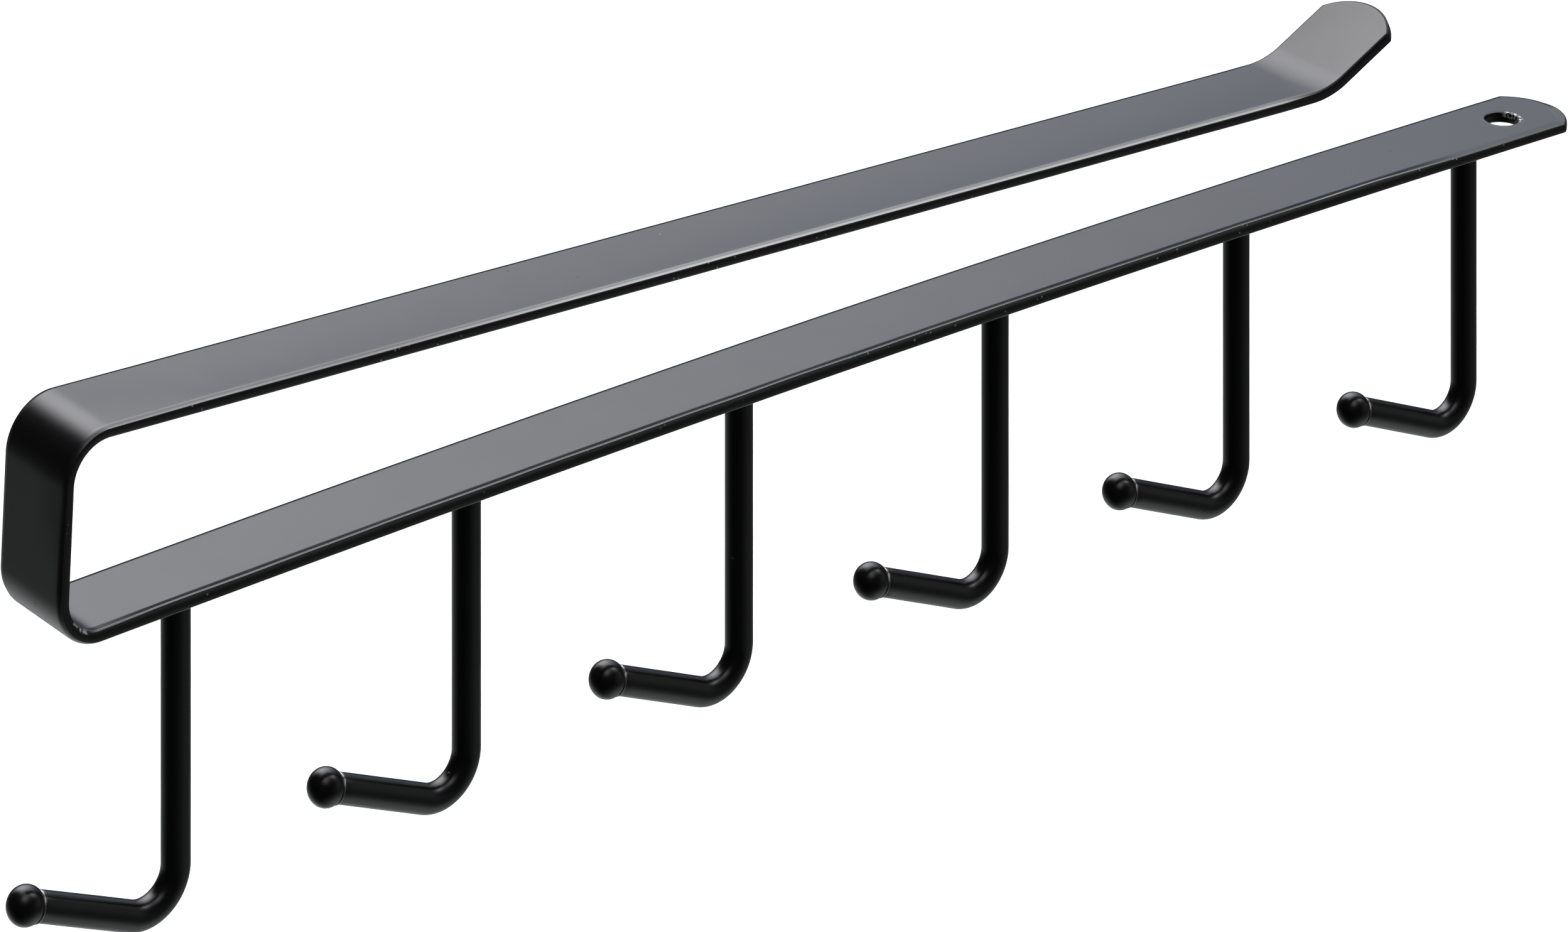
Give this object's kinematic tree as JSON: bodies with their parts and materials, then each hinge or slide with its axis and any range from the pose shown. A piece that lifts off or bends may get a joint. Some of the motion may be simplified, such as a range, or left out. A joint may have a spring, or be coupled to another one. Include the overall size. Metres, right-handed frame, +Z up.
{
  "type": "under-shelf hook rack",
  "caption": "Flat steel strip bent into a long U that slides over a shelf board, with a row of ball-tipped rod hooks under it for mugs or cups.",
  "frame": {"origin": "crown of the lower arm's bow, on the face that bears against the shelf board, at the middle of the row of hooks", "axes": "+X along the strip from the bent end to the open end, +Z up towards the upper arm, Y across the strip"},
  "size_m": [0.2913, 0.0154, 0.0746],
  "materials": {
    "strip_coating": "satin black powder coat on flat steel bar",
    "rod_coating": "satin black powder coat on steel wire and balls",
    "weld_coating": "satin black powder coat over weld metal"
  },
  "bodies": {
    "root": {"shelf_strip": "strip_coating", "hook_rod_1": "rod_coating", "ball_tip_1": "rod_coating", "hook_weld_1": "weld_coating", "ball_weld_1": "weld_coating", "hook_rod_2": "rod_coating", "ball_tip_2": "rod_coating", "hook_weld_2": "weld_coating", "ball_weld_2": "weld_coating", "hook_rod_3": "rod_coating", "ball_tip_3": "rod_coating", "hook_weld_3": "weld_coating", "ball_weld_3": "weld_coating", "hook_rod_4": "rod_coating", "ball_tip_4": "rod_coating", "hook_weld_4": "weld_coating", "ball_weld_4": "weld_coating", "hook_rod_5": "rod_coating", "ball_tip_5": "rod_coating", "hook_weld_5": "weld_coating", "ball_weld_5": "weld_coating", "hook_rod_6": "rod_coating", "ball_tip_6": "rod_coating", "hook_weld_6": "weld_coating", "ball_weld_6": "weld_coating"}
  },
  "joints": []
}
